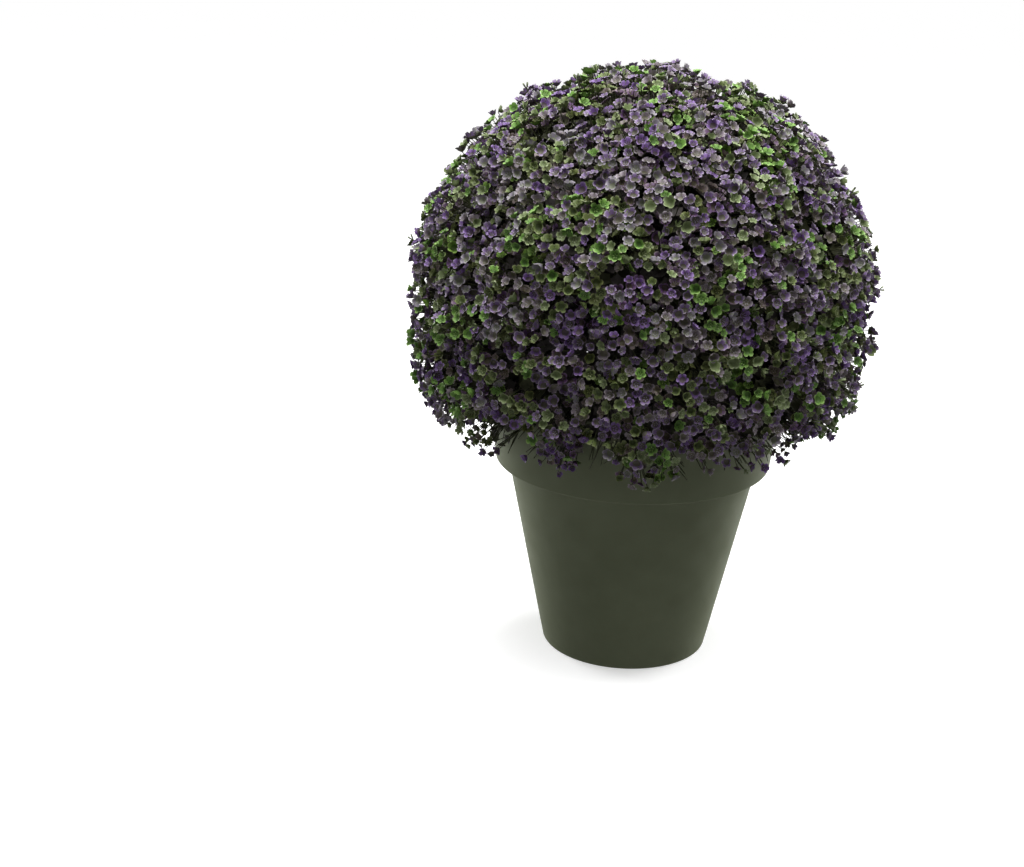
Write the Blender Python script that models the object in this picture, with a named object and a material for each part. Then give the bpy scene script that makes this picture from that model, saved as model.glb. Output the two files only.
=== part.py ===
"""Artificial potted verbena ball: a plastic pot, its filler, a short trunk with boughs, and the
masses of cupped florets that make up the ball.

Metres, +Z up. The origin is the middle of the pot's flat underside. The front is towards -Y.
"""

import math
import random
from dataclasses import dataclass, field

import bmesh
import bpy
from mathutils import Matrix, Vector

# ---------------------------------------------------------------- pot and filler
GAP = 0.0003  # clearance between pieces that meet
TURNED_SIDES = 48  # sides of the pot and its filler

POT_BASE_RADIUS = 0.0928
POT_BODY_TOP_RADIUS = 0.1388
POT_COLLAR_FOOT_RADIUS = 0.1525
POT_COLLAR_TOP_RADIUS = 0.1594
POT_BODY_HEIGHT = 0.2185
POT_HEIGHT = 0.290
POT_WALL = 0.004
POT_FLOOR = 0.005
POT_EDGE = 0.002  # chamfer of the pot's foot and lip

FILLER_HEIGHT = 0.216
FILLER_FALL = 0.004  # how far the filler's top falls from the trunk to the wall
FILLER_FLAT_RADIUS = 0.034  # of the level seat under the trunk

# ---------------------------------------------------------------- trunk and boughs
TRUNK_SIDES = 14
TRUNK_FLARE_RADIUS = 0.022
TRUNK_FOOT_RADIUS = 0.0125
TRUNK_TIP_RADIUS = 0.0045
TRUNK_FLARE_HEIGHT = 0.022
FLARE_STEPS = 3

BOUGH_ROOT_RADIUS = 0.0032
BOUGH_TIP_RADIUS = 0.0024
BOUGH_SEGMENTS = 4
BOUGH_PULL = 0.4  # how long a bough holds its direction at each end, as a share of its length

# ---------------------------------------------------------------- the ball and its masses
BALL_CENTRE = Vector((0, 0, 0.3965))
BALL_RADIUS = 0.2575  # reach of the outermost florets
REACH_SCATTER = 0.018  # seeded shortfall from that reach, as a share of it
MASS_DOMING = 0.10  # how far a mass falls away from its middle, as a share of 1 - cosine
DIRECTION_SCATTER = 4.0  # degrees


@dataclass
class Ring:
    """A ring of like masses round the ball. Angles are in degrees, from straight up and the front."""

    name: str
    count: int
    polar: float
    first_azimuth: float
    florets: int
    bough_height: float = 0.0  # above the trunk's foot. The top mass stands on the trunk's tip
    scatter: float = DIRECTION_SCATTER


RINGS = (
    Ring("top", 1, 0.0, 0.0, 12, scatter=0.0),
    Ring("shoulder", 5, 41.0, 20.0, 14, 0.184),
    Ring("side", 8, 77.0, 26.0, 13, 0.136),
    Ring("skirt", 9, 111.0, 4.0, 12, 0.087, scatter=1.0),
)
# The lowest point of each mass of the skirt, from its first mass round.
SKIRT_HEMS = (0.243, 0.252, 0.246, 0.262, 0.248, 0.256, 0.244, 0.258, 0.246)
GREEN_EVERY = 4  # one mass in so many is mostly green

MASS_FOOT = 0.118  # from the ball's centre to the foot of a mass's own stem
TWIG_HUB = 0.172  # from the ball's centre to where that stem parts into twigs
CORE_INNER = 0.140
CORE_OUTER = 0.231
CORE_SIDES = 12
CORE_ROWS = 5
CORE_SQUARENESS = 0.55  # 1 would be a plain oval, and 0 a box
CORE_MARGIN = 0.0015  # how far a core stays inside its mass's space
CORE_OFF_POT = 0.020  # wide enough that no edge of a core cuts across the lip
SPACE_MARGIN = 0.0004  # the same for every twig and floret
POT_CLEARANCE = 0.006

# ---------------------------------------------------------------- twigs and florets
STEM_SIDES = 5
TWIG_SIDES = 3
TWIG_ROOT_RADIUS = 0.0026
TWIG_TIP_RADIUS = 0.0016
TWIG_ROOT_SHARE = 0.12  # how far along its way from the hub a twig's own root lies

FLORET_RADIUS = 0.0250
FLORET_SPREAD = 0.08  # seeded variation of a floret's size
FLORET_LOBES = 5
FLORET_NOTCH = 0.66  # radius of the notch between two lobes, as a share of the floret's
FLORET_DEPTH = 0.42  # height of a lobe's tip over the neck, as a share of the radius
NOTCH_DEPTH = 0.36
FLORET_FLOOR = 0.16  # height of the cup's floor over the neck, as a share of the radius
FLORET_TILT = 0.35  # how far a floret leans from the ball's radius towards its own twig
SHRINKS = (1.0, 0.93, 0.86, 0.79, 0.72)  # sizes tried before a floret that doesn't fit is skipped
FLORET_CLEARANCE = 0.90  # least distance between two cups, as a share of their radii together

SETTLING_ROUNDS = 40
SETTLING_PUSH = 0.3
GOLDEN_ANGLE = math.pi * (3 - math.sqrt(5))
WIDEST_LEAN = math.radians(60)
HALVINGS = 18
SEED = 7


# ---------------------------------------------------------------- materials and mesh helpers
def plain_material(name, colour, roughness):
    """A Principled material with a plain colour, for plastic."""
    material = bpy.data.materials.new(name)
    material.use_nodes = True
    shader = material.node_tree.nodes["Principled BSDF"]
    shader.inputs["Base Color"].default_value = (*colour, 1)
    shader.inputs["Roughness"].default_value = roughness
    shader.inputs["Metallic"].default_value = 0
    material.diffuse_color = (*colour, 1)
    return material


def add_object(name, data, material, parent=None):
    """A named object in the scene."""
    made = bpy.data.objects.new(name, data)
    data.materials.append(material)
    bpy.context.scene.collection.objects.link(made)
    made.parent = parent
    return made


def finished_mesh(name, work, sharp_degrees):
    """The mesh of a bmesh: faces out, smooth, with the edges over that angle sharp."""
    bmesh.ops.recalc_face_normals(work, faces=work.faces)
    mesh = bpy.data.meshes.new(name)
    work.to_mesh(mesh)
    work.free()
    mesh.shade_smooth()
    mesh.set_sharp_from_angle(angle=math.radians(sharp_degrees))
    return mesh


def turned_mesh(name, profile, sides):
    """A body turned about Z from (radius, height) points that start and end on the axis."""
    work = bmesh.new()
    points = [work.verts.new((radius, 0, height)) for radius, height in profile]
    edges = [work.edges.new(pair) for pair in zip(points, points[1:])]
    bmesh.ops.spin(
        work,
        geom=points + edges,
        axis=(0, 0, 1),
        cent=(0, 0, 0),
        steps=sides,
        angle=2 * math.pi,
        use_merge=True,
    )
    bmesh.ops.remove_doubles(work, verts=work.verts, dist=0.00001)
    return finished_mesh(name, work, sharp_degrees=35)


def across(direction):
    """Two unit vectors that span the plane across a direction."""
    side = direction.orthogonal().normalized()
    return side, direction.cross(side).normalized()


# ---------------------------------------------------------------- pot and filler
def pot_inner_radius(height):
    """Inner radius of the pot's tapering body at a height."""
    share = height / POT_BODY_HEIGHT
    return POT_BASE_RADIUS + (POT_BODY_TOP_RADIUS - POT_BASE_RADIUS) * share - POT_WALL


def make_pot(material):
    """The tapering pot with its stepped collar and chamfered lip, open at the top."""
    ledge = POT_BODY_HEIGHT + POT_WALL
    lip_side = POT_HEIGHT - POT_EDGE / 2
    profile = (
        (0, 0),
        (POT_BASE_RADIUS - POT_EDGE, 0),
        (POT_BASE_RADIUS, POT_EDGE),
        (POT_BODY_TOP_RADIUS, POT_BODY_HEIGHT),
        (POT_COLLAR_FOOT_RADIUS, POT_BODY_HEIGHT),
        (POT_COLLAR_TOP_RADIUS, lip_side),
        (POT_COLLAR_TOP_RADIUS - POT_WALL / 2, POT_HEIGHT),
        (POT_COLLAR_TOP_RADIUS - POT_WALL, lip_side),
        (POT_COLLAR_FOOT_RADIUS - POT_WALL, ledge),
        (pot_inner_radius(ledge), ledge),
        (pot_inner_radius(POT_FLOOR), POT_FLOOR),
        (0, POT_FLOOR),
    )
    return add_object("pot", turned_mesh("pot", profile, TURNED_SIDES), material)


def make_filler(material, pot):
    """The block of filler inside the pot, which the trunk stands on."""
    foot = POT_FLOOR + GAP
    brim = FILLER_HEIGHT - FILLER_FALL
    wall_gap = 1.5 * GAP  # level, so that it is at least GAP across the leaning wall
    profile = (
        (0, foot),
        (pot_inner_radius(foot) - wall_gap, foot),
        (pot_inner_radius(brim) - wall_gap, brim),
        (FILLER_FLAT_RADIUS, FILLER_HEIGHT),
        (0, FILLER_HEIGHT),
    )
    return add_object("filler", turned_mesh("filler", profile, TURNED_SIDES), material, pot)


# ---------------------------------------------------------------- trunk and boughs
TRUNK_BASE = FILLER_HEIGHT + GAP
TRUNK_LENGTH = BALL_CENTRE.z + MASS_FOOT - GAP - TRUNK_BASE


def trunk_radius(height):
    """The trunk's radius above its foot: a root flare, then an even taper to the tip."""
    taper = TRUNK_FOOT_RADIUS + (TRUNK_TIP_RADIUS - TRUNK_FOOT_RADIUS) * height / TRUNK_LENGTH
    flare = max(0.0, 1 - height / TRUNK_FLARE_HEIGHT)
    return taper + (TRUNK_FLARE_RADIUS - TRUNK_FOOT_RADIUS) * flare**2


def make_trunk(material):
    """The short upright trunk, from its flat cut on the filler to the foot of the top mass."""
    heights = [TRUNK_FLARE_HEIGHT * i / FLARE_STEPS for i in range(FLARE_STEPS + 1)]
    heights.append(TRUNK_LENGTH)
    profile = [(0, 0)] + [(trunk_radius(h), h) for h in heights] + [(0, TRUNK_LENGTH)]
    trunk = add_object("trunk", turned_mesh("trunk", profile, TRUNK_SIDES), material)
    trunk.location.z = TRUNK_BASE
    return trunk


def make_bough(mass, material, trunk):
    """One tapering limb: it leaves the trunk level and ends squarely on the stem of its mass."""
    level = Vector((mass.direction.x, mass.direction.y, 0)).normalized()
    start = level * (trunk_radius(mass.bough_height) + GAP)
    start.z = mass.bough_height
    end = BALL_CENTRE - Vector((0, 0, TRUNK_BASE)) + mass.direction * (MASS_FOOT - GAP)
    pull = (end - start).length * BOUGH_PULL

    curve = bpy.data.curves.new(mass.bough_name, "CURVE")
    curve.dimensions = "3D"
    curve.resolution_u = BOUGH_SEGMENTS
    curve.bevel_depth = BOUGH_ROOT_RADIUS
    curve.bevel_resolution = 1
    curve.use_fill_caps = True
    spline = curve.splines.new("BEZIER")
    spline.bezier_points.add(1)
    root, tip = spline.bezier_points
    for point, place, heading in ((root, start, level), (tip, end, mass.direction)):
        point.handle_left_type = point.handle_right_type = "FREE"
        point.co = place
        point.handle_left = place - heading * pull
        point.handle_right = place + heading * pull
    tip.radius = BOUGH_TIP_RADIUS / BOUGH_ROOT_RADIUS
    return add_object(mass.bough_name, curve, material, trunk)


# ---------------------------------------------------------------- the masses and their spaces
@dataclass
class Mass:
    """One mass of foliage, and the space about the ball's centre that it keeps to."""

    name: str
    bough_name: str
    direction: Vector
    reach: float
    hem: float
    bough_height: float
    florets: int
    walls: list = field(default_factory=list)

    def room(self, arm, off_pot=POT_CLEARANCE):
        """How far the end of an arm from the ball's centre lies inside the mass's space."""
        place = BALL_CENTRE + arm
        to_walls = min(arm.dot(wall) for wall in self.walls)
        beside_pot = math.hypot(place.x, place.y) - POT_COLLAR_TOP_RADIUS
        to_pot = max(beside_pot, place.z - POT_HEIGHT) - off_pot
        return min(to_walls, place.z - self.hem, to_pot)

    def leaning(self, turn, share, distance, margin, off_pot=POT_CLEARANCE):
        """The direction that leans, towards a turn, by that share of what its space allows."""
        side, over = across(self.direction)
        sideways = side * math.cos(turn) + over * math.sin(turn)
        low, high = 0.0, WIDEST_LEAN
        for _ in range(HALVINGS):
            lean = (low + high) / 2
            ray = self.direction * math.cos(lean) + sideways * math.sin(lean)
            if self.room(ray * distance, off_pot) > margin:
                low = lean
            else:
                high = lean
        return self.direction * math.cos(low * share) + sideways * math.sin(low * share)


def on_ball(polar, azimuth):
    """The unit direction at an angle from straight up, and at an azimuth from the front."""
    flat = math.sin(polar)
    return Vector((flat * math.sin(azimuth), -flat * math.cos(azimuth), math.cos(polar)))


def lay_out_masses():
    """The masses of every ring, each with the walls that part its space from the others'."""
    chance = random.Random(SEED)
    masses = []
    for ring in RINGS:
        for i in range(ring.count):
            polar = ring.polar + chance.uniform(-ring.scatter, ring.scatter)
            azimuth = ring.first_azimuth + 360 * i / ring.count
            azimuth += chance.uniform(-ring.scatter, ring.scatter)
            suffix = ring.name if ring.count == 1 else f"{ring.name}_{i + 1}"
            mass = Mass(
                name=f"foliage_{suffix}",
                bough_name=f"bough_{suffix}",
                direction=on_ball(math.radians(polar), math.radians(azimuth)),
                reach=BALL_RADIUS * (1 - REACH_SCATTER * chance.random()),
                hem=SKIRT_HEMS[i] if ring.name == "skirt" else 0.0,
                bough_height=ring.bough_height,
                florets=ring.florets,
            )
            masses.append(mass)
    for mass in masses:
        others = [other for other in masses if other is not mass]
        mass.walls = [(mass.direction - other.direction).normalized() for other in others]
    return masses


def core_mesh(mass):
    """The dense middle of a mass: a sphere let out into a cushion that fills the mass's space."""
    work = bmesh.new()
    bmesh.ops.create_uvsphere(work, u_segments=CORE_SIDES, v_segments=CORE_ROWS, radius=1)
    for point in work.verts:
        turn = math.atan2(point.co.y, point.co.x)
        share = math.hypot(point.co.x, point.co.y) ** CORE_SQUARENESS
        height = math.copysign(abs(point.co.z) ** CORE_SQUARENESS, point.co.z)
        distance = CORE_INNER + (CORE_OUTER - CORE_INNER) * (1 + height) / 2
        point.co = mass.leaning(turn, share, distance, CORE_MARGIN, CORE_OFF_POT) * distance
    return finished_mesh(mass.name, work, sharp_degrees=60)


def settle(mass, chance):
    """Directions of the mass's florets: a sunflower's spiral, then pushed apart in its space."""
    distance = mass.reach - FLORET_RADIUS * FLORET_DEPTH
    apart = 2 * FLORET_RADIUS / distance
    rays = []
    for k in range(mass.florets):
        turn = k * GOLDEN_ANGLE + chance.uniform(-0.2, 0.2)
        share = math.sqrt((k + 0.4) / mass.florets)
        rays.append(mass.leaning(turn, share, distance, FLORET_RADIUS))
    for _ in range(SETTLING_ROUNDS):
        for k, ray in enumerate(rays):
            push = Vector()
            for other in rays:
                between = ray - other
                if 0 < between.length < apart:
                    push += between.normalized() * (apart - between.length) * SETTLING_PUSH
            moved = (ray + push).normalized()
            lacking = FLORET_RADIUS - mass.room(moved * distance)
            if lacking > 0:
                inward = mass.direction - moved * mass.direction.dot(moved)
                moved = (moved + inward.normalized() * lacking / distance).normalized()
            rays[k] = moved
    return rays


# ---------------------------------------------------------------- twigs and florets
def ring_of_points(work, middle, axis, radii, lifts, spin):
    """Vertices round an axis, whose radii and lifts are each used in turn."""
    side, over = across(axis)
    made = []
    for k, (radius, lift) in enumerate(zip(radii, lifts)):
        angle = spin + 2 * math.pi * k / len(radii)
        out = side * math.cos(angle) + over * math.sin(angle)
        made.append(work.verts.new(middle + out * radius + axis * lift))
    return made


def stem_mesh(start, end, radius):
    """A straight stem with flat ends."""
    work = bmesh.new()
    turn = (end - start).to_track_quat("Z", "Y").to_matrix().to_4x4()
    bmesh.ops.create_cone(
        work,
        cap_ends=True,
        segments=STEM_SIDES,
        radius1=radius,
        radius2=radius,
        depth=(end - start).length,
        matrix=Matrix.Translation((start + end) / 2) @ turn,
    )
    return finished_mesh("stem", work, sharp_degrees=60)


def sprig_mesh(root, neck, axis, radius, spin):
    """A three-sided twig that widens at its neck into a cup of five notched lobes."""
    work = bmesh.new()
    along = (neck - root).normalized()
    level = (0,) * TWIG_SIDES
    foot = ring_of_points(work, root, along, (TWIG_ROOT_RADIUS,) * TWIG_SIDES, level, spin)
    collar = ring_of_points(work, neck, along, (TWIG_TIP_RADIUS,) * TWIG_SIDES, level, spin)
    rim = ring_of_points(
        work,
        neck,
        axis,
        (radius, radius * FLORET_NOTCH) * FLORET_LOBES,
        (radius * FLORET_DEPTH, radius * NOTCH_DEPTH) * FLORET_LOBES,
        spin,
    )
    work.faces.new(foot)
    for k in range(TWIG_SIDES):
        after = (k + 1) % TWIG_SIDES
        work.faces.new((foot[k], foot[after], collar[after], collar[k]))
    # The cup's outside: each side of the rim runs down to whichever corner of the neck is nearest.
    nearest = [min(collar, key=lambda corner: (corner.co - tip.co).length) for tip in rim]
    for k, tip in enumerate(rim):
        after = (k + 1) % len(rim)
        work.faces.new((nearest[k], rim[after], tip))
        if nearest[after] is not nearest[k]:
            work.faces.new((nearest[k], nearest[after], rim[after]))
    # The cup's inside: a face over the rim, poked down to the floor.
    hollow = bmesh.ops.poke(work, faces=[work.faces.new(rim)])
    hollow["verts"][0].co = neck + axis * radius * FLORET_FLOOR
    return finished_mesh("sprig", work, sharp_degrees=50)


def grow_sprigs(mass, chance):
    """The meshes of a mass's twigs with their florets. One that doesn't fit is shrunk or skipped."""
    hub = mass.direction * TWIG_HUB
    made, taken = [], []
    for ray in settle(mass, chance):
        size = FLORET_RADIUS * (1 + chance.uniform(-FLORET_SPREAD, FLORET_SPREAD))
        spin = chance.uniform(0, 2 * math.pi)
        dip = MASS_DOMING * (1 - ray.dot(mass.direction)) + chance.uniform(0.0, REACH_SCATTER)
        for shrink in SHRINKS:
            radius = size * shrink
            neck = ray * (mass.reach * (1 - dip) - radius * FLORET_DEPTH)
            if any((neck - at).length < (radius + r) * FLORET_CLEARANCE for at, r in taken):
                continue
            axis = ray.lerp((neck - hub).normalized(), FLORET_TILT).normalized()
            mesh = sprig_mesh(hub.lerp(neck, TWIG_ROOT_SHARE), neck, axis, radius, spin)
            if min(mass.room(point.co) for point in mesh.vertices) < SPACE_MARGIN:
                continue
            made.append(mesh)
            taken.append((neck, radius))
            break
    return made


def make_mass(mass, number, material, ball):
    """A mass of foliage: its stem and its twigs with their florets, fused to its core."""
    made = add_object(mass.name, core_mesh(mass), material, ball)
    meshes = grow_sprigs(mass, random.Random(SEED * 100 + number))
    foot = mass.direction * MASS_FOOT
    meshes.append(stem_mesh(foot, mass.direction * TWIG_HUB, BOUGH_TIP_RADIUS))
    parts = bpy.data.collections.new(mass.name + "_parts")
    bpy.context.scene.collection.children.link(parts)
    for mesh in meshes:
        part = bpy.data.objects.new("part", mesh)
        part.parent = ball
        parts.objects.link(part)

    union = made.modifiers.new("fuse", "BOOLEAN")
    union.operation = "UNION"
    union.operand_type = "COLLECTION"
    union.collection = parts
    bpy.context.view_layer.update()
    evaluated = made.evaluated_get(bpy.context.evaluated_depsgraph_get())
    fused = bpy.data.meshes.new_from_object(evaluated)
    made.modifiers.remove(union)
    made.data = fused
    for part in list(parts.objects):
        bpy.data.objects.remove(part)
    bpy.data.collections.remove(parts)
    return made


# ---------------------------------------------------------------- the whole plant
def main():
    for leftover in list(bpy.data.objects):
        bpy.data.objects.remove(leftover)
    pot_green = plain_material("pot_green", (0.052, 0.062, 0.040), 0.5)
    filler_brown = plain_material("filler_brown", (0.035, 0.028, 0.018), 0.9)
    stem_green = plain_material("stem_green", (0.030, 0.040, 0.016), 0.6)
    floret_violet = plain_material("floret_violet", (0.150, 0.105, 0.210), 0.55)
    floret_green = plain_material("floret_green", (0.100, 0.170, 0.060), 0.55)

    pot = make_pot(pot_green)
    make_filler(filler_brown, pot)
    trunk = make_trunk(stem_green)
    ball = bpy.data.objects.new("ball", None)
    ball.location = BALL_CENTRE
    bpy.context.scene.collection.objects.link(ball)
    bpy.context.view_layer.update()
    for number, mass in enumerate(lay_out_masses()):
        colour = floret_green if number % GREEN_EVERY == 1 else floret_violet
        make_mass(mass, number, colour, ball)
        if mass.bough_height:
            make_bough(mass, stem_green, trunk)


main()
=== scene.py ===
"""Looks of the artificial potted verbena ball: pot, filler, trunk, boughs, twigs and florets."""

import math
import random
from collections import namedtuple
from dataclasses import dataclass, field
from functools import lru_cache

import bmesh
import bpy
import numpy as np
from bpy.props import FloatProperty, FloatVectorProperty, IntProperty, PointerProperty
from mathutils import Matrix, Quaternion, Vector, noise


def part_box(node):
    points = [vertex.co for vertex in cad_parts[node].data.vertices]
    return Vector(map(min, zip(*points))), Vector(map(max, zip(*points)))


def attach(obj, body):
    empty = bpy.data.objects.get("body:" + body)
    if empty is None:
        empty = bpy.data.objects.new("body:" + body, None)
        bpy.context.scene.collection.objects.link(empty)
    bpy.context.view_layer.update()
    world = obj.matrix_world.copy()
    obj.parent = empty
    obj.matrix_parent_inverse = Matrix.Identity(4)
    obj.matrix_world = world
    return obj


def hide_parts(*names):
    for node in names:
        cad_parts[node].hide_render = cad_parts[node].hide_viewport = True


bl_info = {
    "name": "Potted Verbena Ball",
    "version": (1, 0, 0),
    "blender": (4, 5, 0),
    "location": "3D View > Sidebar > Verbena Ball",
    "description": "Makes an artificial verbena ball in its pot, over a fixed frame",
    "category": "Add Mesh",
}

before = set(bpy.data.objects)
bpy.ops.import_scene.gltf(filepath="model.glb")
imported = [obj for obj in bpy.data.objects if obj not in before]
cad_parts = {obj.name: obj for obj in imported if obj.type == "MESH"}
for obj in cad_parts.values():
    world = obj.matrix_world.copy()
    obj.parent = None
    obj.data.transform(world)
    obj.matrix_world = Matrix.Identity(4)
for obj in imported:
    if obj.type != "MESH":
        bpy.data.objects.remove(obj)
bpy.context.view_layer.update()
BODY = "root"

# --- sizes read from the frame
_, POT_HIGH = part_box("pot")
TRUNK_LOW, TRUNK_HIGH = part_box("trunk")
FILLER_LOW, FILLER_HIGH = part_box("filler")

GAP = 0.0003
COLLAR_HEIGHT = 0.0715
COLLAR_FLARE = 0.0069
COLLAR_STEP = 0.0137
BODY_TAPER = 0.0460
POT_COLLAR_TOP_RADIUS = POT_HIGH.x
POT_COLLAR_FOOT_RADIUS = POT_COLLAR_TOP_RADIUS - COLLAR_FLARE
POT_BODY_TOP_RADIUS = POT_COLLAR_FOOT_RADIUS - COLLAR_STEP
POT_BASE_RADIUS = POT_BODY_TOP_RADIUS - BODY_TAPER
POT_HEIGHT = POT_HIGH.z
POT_BODY_HEIGHT = POT_HEIGHT - COLLAR_HEIGHT
POT_WALL = 0.004
POT_FLOOR = FILLER_LOW.z - GAP
POT_SIDES = 160

TRUNK_FLARE_RADIUS = TRUNK_HIGH.x
TRUNK_FOOT_RADIUS = 0.0125
TRUNK_TIP_RADIUS = 0.0045
TRUNK_FLARE_HEIGHT = 0.022
TRUNK_LENGTH = TRUNK_HIGH.z - TRUNK_LOW.z

# --- the source's rule for the masses
MASS_FOOT = 0.118
TWIG_HUB = 0.172
BALL_CENTRE = Vector((0, 0, TRUNK_HIGH.z + GAP - MASS_FOOT))
CENTRE = np.array(BALL_CENTRE)
BALL_RADIUS = 0.2575
REACH_SCATTER = 0.018
MASS_DOMING = 0.10
DIRECTION_SCATTER = 4.0
SKIRT_HEMS = (0.243, 0.252, 0.246, 0.262, 0.248, 0.256, 0.244, 0.258, 0.246)
POT_CLEARANCE = 0.006
SPRAY_RADIUS = 0.0250
SPRAY_DEPTH = 0.42
BOUGH_ROOT_RADIUS = 0.0032
BOUGH_TIP_RADIUS = 0.0024
BOUGH_PULL = 0.4
SETTLING_ROUNDS = 40
SETTLING_PUSH = 0.3
GOLDEN_ANGLE = math.pi * (3 - math.sqrt(5))
WIDEST_LEAN = math.radians(60)
HALVINGS = 18
SEED = 7


@dataclass
class Ring:
    """A ring of like masses round the ball. Angles are in degrees, from straight up and the front."""

    name: str
    count: int
    polar: float
    first_azimuth: float
    sprays: int
    bough_height: float = 0.0
    scatter: float = DIRECTION_SCATTER


RINGS = (
    Ring("top", 1, 0.0, 0.0, 12, scatter=0.0),
    Ring("shoulder", 5, 41.0, 20.0, 14, 0.184),
    Ring("side", 8, 77.0, 26.0, 13, 0.136),
    Ring("skirt", 9, 111.0, 4.0, 12, 0.087, scatter=1.0),
)


def across(direction):
    """Two unit vectors that span the plane across a direction."""
    side = direction.orthogonal().normalized()
    return side, direction.cross(side).normalized()


@dataclass
class Mass:
    """One mass of foliage, and the space about the ball's centre that it keeps to."""

    name: str
    bough_name: str
    direction: Vector
    reach: float
    hem: float
    bough_height: float
    sprays: int
    walls: np.ndarray = field(default=None)

    def room(self, arms):
        """How far the end of each arm from the ball's centre lies inside the mass's space."""
        places = arms + CENTRE
        to_walls = (arms @ self.walls.T).min(axis=1)
        beside_pot = np.hypot(places[:, 0], places[:, 1]) - POT_COLLAR_TOP_RADIUS
        to_pot = np.maximum(beside_pot, places[:, 2] - POT_HEIGHT) - POT_CLEARANCE
        return np.minimum.reduce((to_walls, places[:, 2] - self.hem, to_pot))

    def leaning(self, turns, shares, distance, margin):
        """The directions that lean, towards each turn, by a share of what the space allows."""
        side, over = (np.array(axis) for axis in across(self.direction))
        middle = np.array(self.direction)
        sideways = np.outer(np.cos(turns), side) + np.outer(np.sin(turns), over)
        low = np.zeros(len(turns))
        high = np.full(len(turns), WIDEST_LEAN)
        for _ in range(HALVINGS):
            lean = (low + high) / 2
            rays = np.outer(np.cos(lean), middle) + sideways * np.sin(lean)[:, None]
            fits = self.room(rays * distance) > margin
            low = np.where(fits, lean, low)
            high = np.where(fits, high, lean)
        lean = low * shares
        return np.outer(np.cos(lean), middle) + sideways * np.sin(lean)[:, None]

    def settle(self, rays, distance, radius, margin, rounds):
        """Pushes directions apart, as florets of that radius, and keeps them a margin inside."""
        apart = 2 * radius / distance
        middle = np.array(self.direction)
        for _ in range(rounds):
            between = rays[:, None] - rays[None]
            length = np.linalg.norm(between, axis=2)
            close = (length > 0) & (length < apart)
            share = np.where(close, (apart - length) / np.maximum(length, 1e-9), 0)
            rays = unit(rays + (between * share[:, :, None]).sum(axis=1) * SETTLING_PUSH)
            lacking = np.maximum(margin - self.room(rays * distance), 0)
            inward = unit(middle - rays * (rays @ middle)[:, None])
            rays = unit(rays + inward * (lacking / distance)[:, None])
        return rays


def unit(vectors):
    """The rows of an array at unit length."""
    return vectors / np.maximum(np.linalg.norm(vectors, axis=1, keepdims=True), 1e-12)


def on_ball(polar, azimuth):
    """The unit direction at an angle from straight up, and at an azimuth from the front."""
    flat = math.sin(polar)
    return Vector((flat * math.sin(azimuth), -flat * math.cos(azimuth), math.cos(polar)))


@lru_cache
def lay_out_masses():
    """The masses of every ring, each with the walls that part its space from the others'."""
    chance = random.Random(SEED)
    masses = []
    for ring in RINGS:
        for i in range(ring.count):
            polar = ring.polar + chance.uniform(-ring.scatter, ring.scatter)
            azimuth = ring.first_azimuth + 360 * i / ring.count
            azimuth += chance.uniform(-ring.scatter, ring.scatter)
            suffix = ring.name if ring.count == 1 else f"{ring.name}_{i + 1}"
            masses.append(
                Mass(
                    name=f"foliage_{suffix}",
                    bough_name=f"bough_{suffix}",
                    direction=on_ball(math.radians(polar), math.radians(azimuth)),
                    reach=BALL_RADIUS * (1 - REACH_SCATTER * chance.random()),
                    hem=SKIRT_HEMS[i] if ring.name == "skirt" else 0.0,
                    bough_height=ring.bough_height,
                    sprays=ring.sprays,
                )
            )
    for mass in masses:
        others = [other for other in masses if other is not mass]
        mass.walls = np.array([(mass.direction - o.direction).normalized() for o in others])
    return masses


# --- settings
def size(name, default, description):
    """A length that the user can change, in metres."""
    length = {"unit": "LENGTH", "precision": 4}
    return FloatProperty(name=name, description=description, default=default, **length)


def share(name, default, description):
    """A share or an angle's measure that the user can change."""
    return FloatProperty(name=name, description=description, default=default)


def colour(name, default, description):
    """A linear colour that the user can change."""
    return FloatVectorProperty(
        name=name, description=description, default=default, subtype="COLOR", min=0, max=1
    )


class PotSettings(bpy.types.PropertyGroup):
    """The pot's and the filler's finish."""

    edge: size("Edge", 0.0022, "Rounding of the pot's foot, step and lip")
    plastic: colour("Plastic", (0.116, 0.132, 0.078), "The pot's olive-green plastic")
    bloom: colour("Bloom", (0.146, 0.164, 0.101), "The paler bloom on the plastic")
    filler: colour("Filler", (0.020, 0.016, 0.010), "The filler's colour")


class FloretSettings(bpy.types.PropertyGroup):
    """The florets' sizes and how thickly they are set."""

    width: size("Width", 0.0123, "Width of an outer floret across its lobes")
    spacing: size("Spacing", 0.0124, "Distance between outer florets")
    spray_dome: size("Spray dome", 0.0080, "How far a spray falls away at its own edge")
    spray_step: size("Spray step", 0.0085, "Seeded depth between one spray and the next")
    upturn: share("Upturn", 0.25, "How far the florets turn up from the ball's radius")
    fan: share("Fan", 4.0, "How far the florets of a spray fan out from its middle")
    looseness: share("Looseness", 0.41, "Seeded scatter of the florets' directions")
    seed: IntProperty(name="Seed", description="Seed of the growth", default=11)


BANDS = ("Heart", "Lobe", "Rim")

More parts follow.
